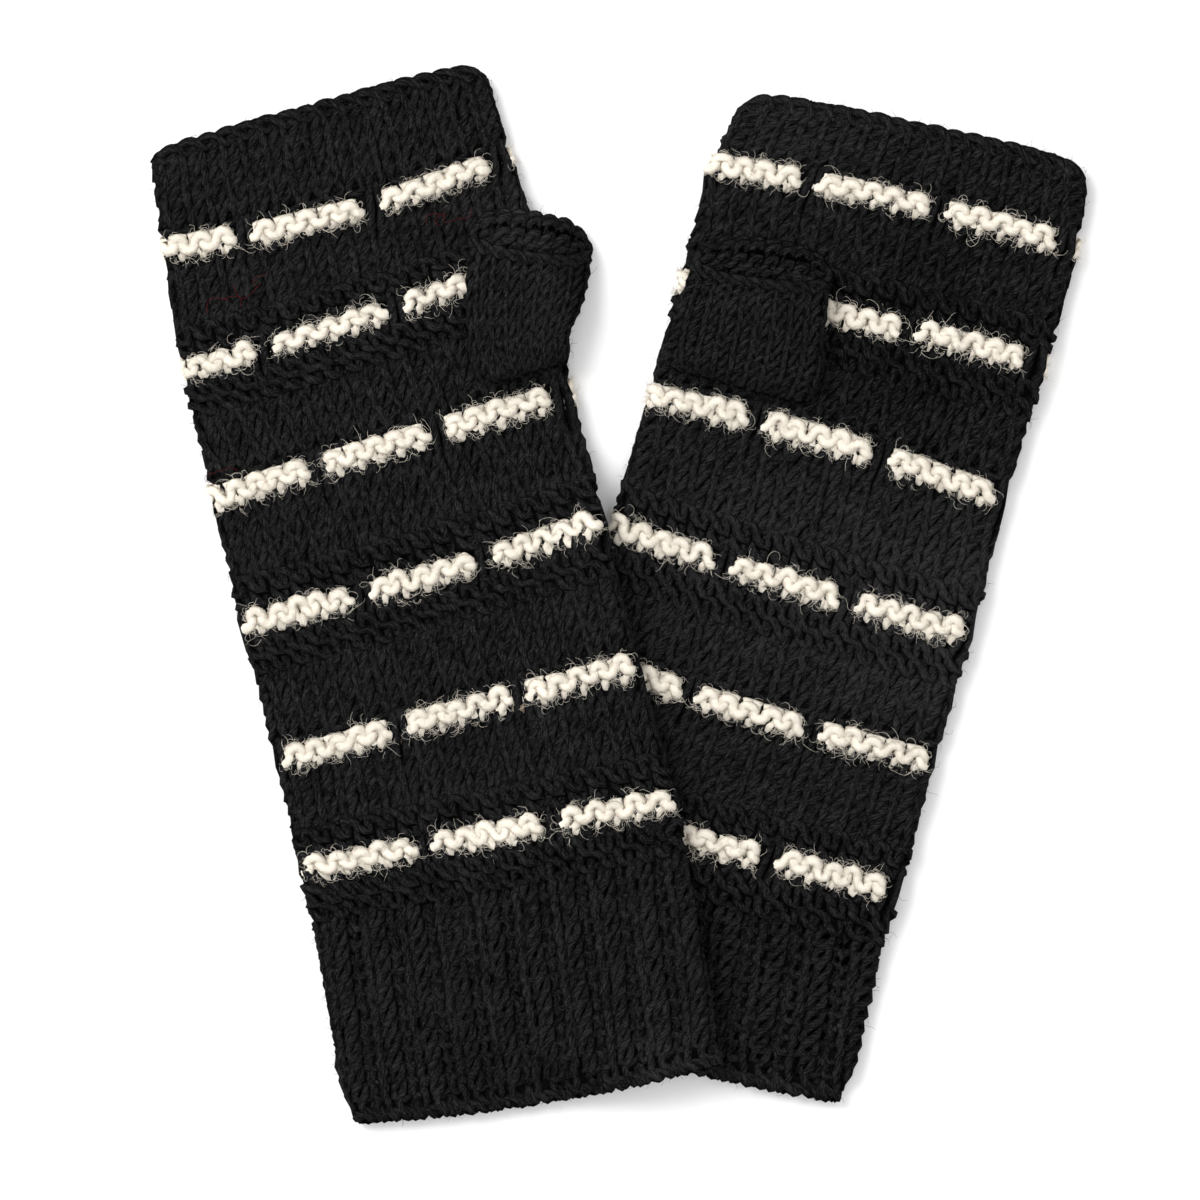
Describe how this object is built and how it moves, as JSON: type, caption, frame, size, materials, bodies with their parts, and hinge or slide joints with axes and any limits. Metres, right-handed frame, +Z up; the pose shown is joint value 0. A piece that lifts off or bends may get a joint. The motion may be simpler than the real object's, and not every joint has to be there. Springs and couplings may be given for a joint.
{
  "type": "pair of fingerless mitts",
  "caption": "Pair of long hand-knitted fingerless mitts laid flat in a V, one over the other, with ribbed cuffs, open thumbs and rows of raised dashes; they warm hands and leave fingers free.",
  "frame": {"origin": "centre of the bounding box's bottom, on the surface that the mitts lie on", "axes": "+Y from the cuffs to the finger edges, halfway between the two leaning mitts; +X to the right seen from above; +Z up"},
  "size_m": [0.2541, 0.288, 0.0159],
  "materials": {
    "black_wool": "matt, softly fuzzy hand-knitted wool",
    "cream_wool": "matt, fluffy undyed wool with loose curled fibres"
  },
  "bodies": {
    "root": {"left_hand": "black_wool", "left_cuff": "black_wool", "left_thumb": "black_wool", "right_hand": "black_wool", "right_cuff": "black_wool", "right_thumb": "black_wool"}
  },
  "joints": []
}
